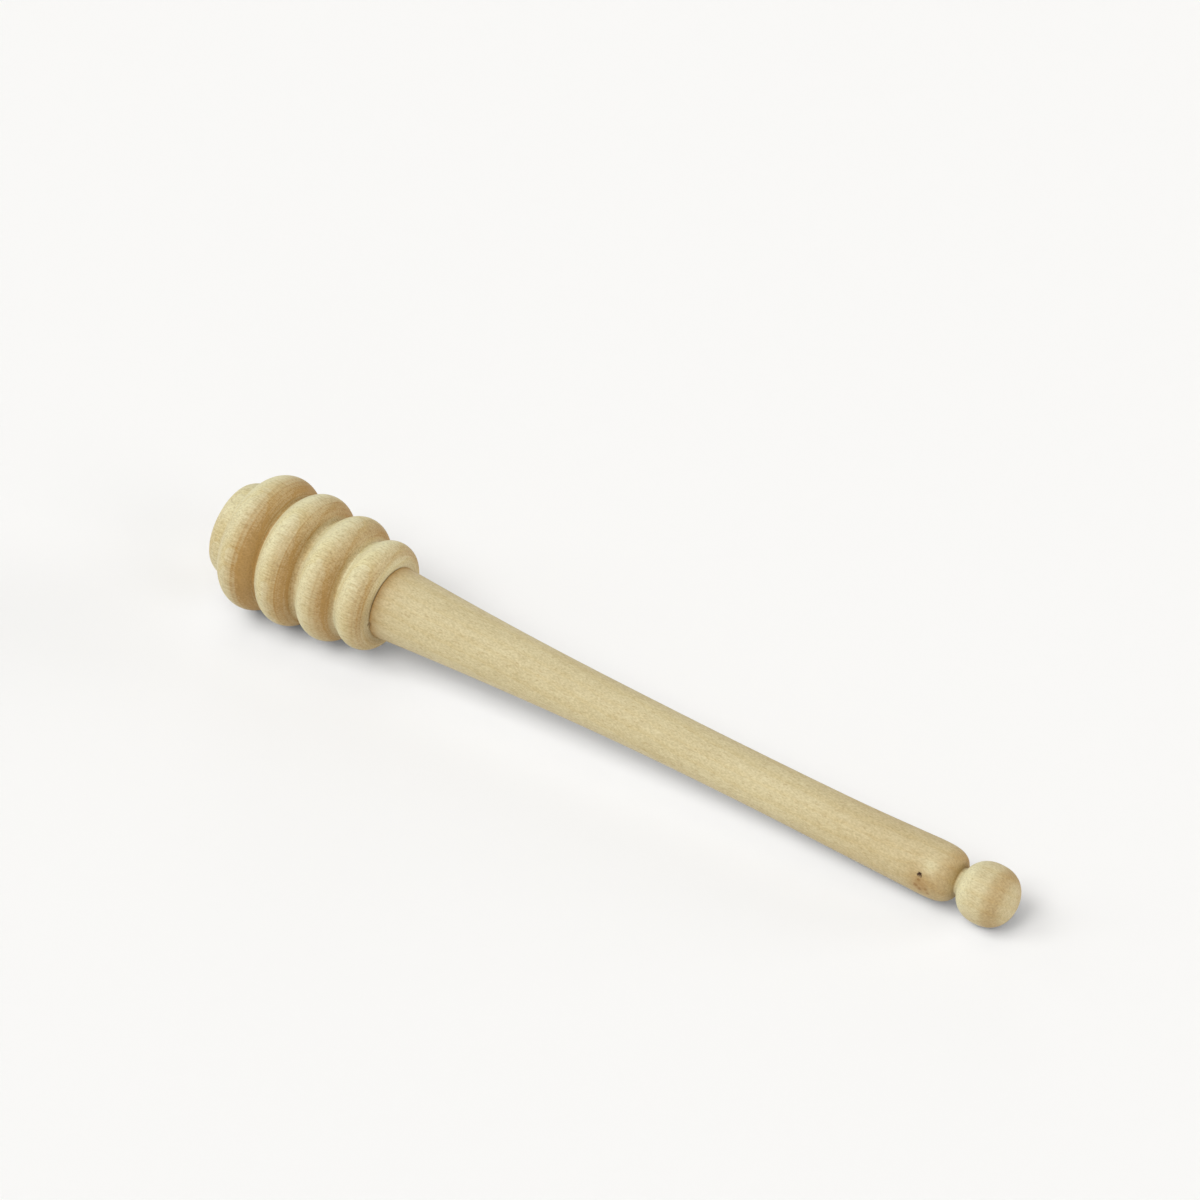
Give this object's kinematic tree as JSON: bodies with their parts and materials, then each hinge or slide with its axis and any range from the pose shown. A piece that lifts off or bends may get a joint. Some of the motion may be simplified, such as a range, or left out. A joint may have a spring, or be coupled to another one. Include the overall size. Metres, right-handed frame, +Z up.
{
  "type": "honey dipper",
  "caption": "Turned wooden honey dipper with a ringed head, rounded honey grooves and a long waisted handle that ends in a ball.",
  "frame": {"origin": "on the table plane that the dipper lies on, under the middle of its bounding box", "axes": "+Z up from the table; +X along the dipper's plan view, from the ringed head to the ball; the dipper's own axis lies in the XZ plane and drops toward the ball by about 2.8 degrees, because it rests on its second ring and its ball"},
  "size_m": [0.169, 0.0262, 0.0263],
  "materials": {
    "head_wood": "fine-sanded, unfinished pale wood",
    "handle_wood": "fine-sanded, unfinished pale wood"
  },
  "bodies": {
    "root": {"dipper_head": "head_wood", "handle": "handle_wood"}
  },
  "joints": []
}
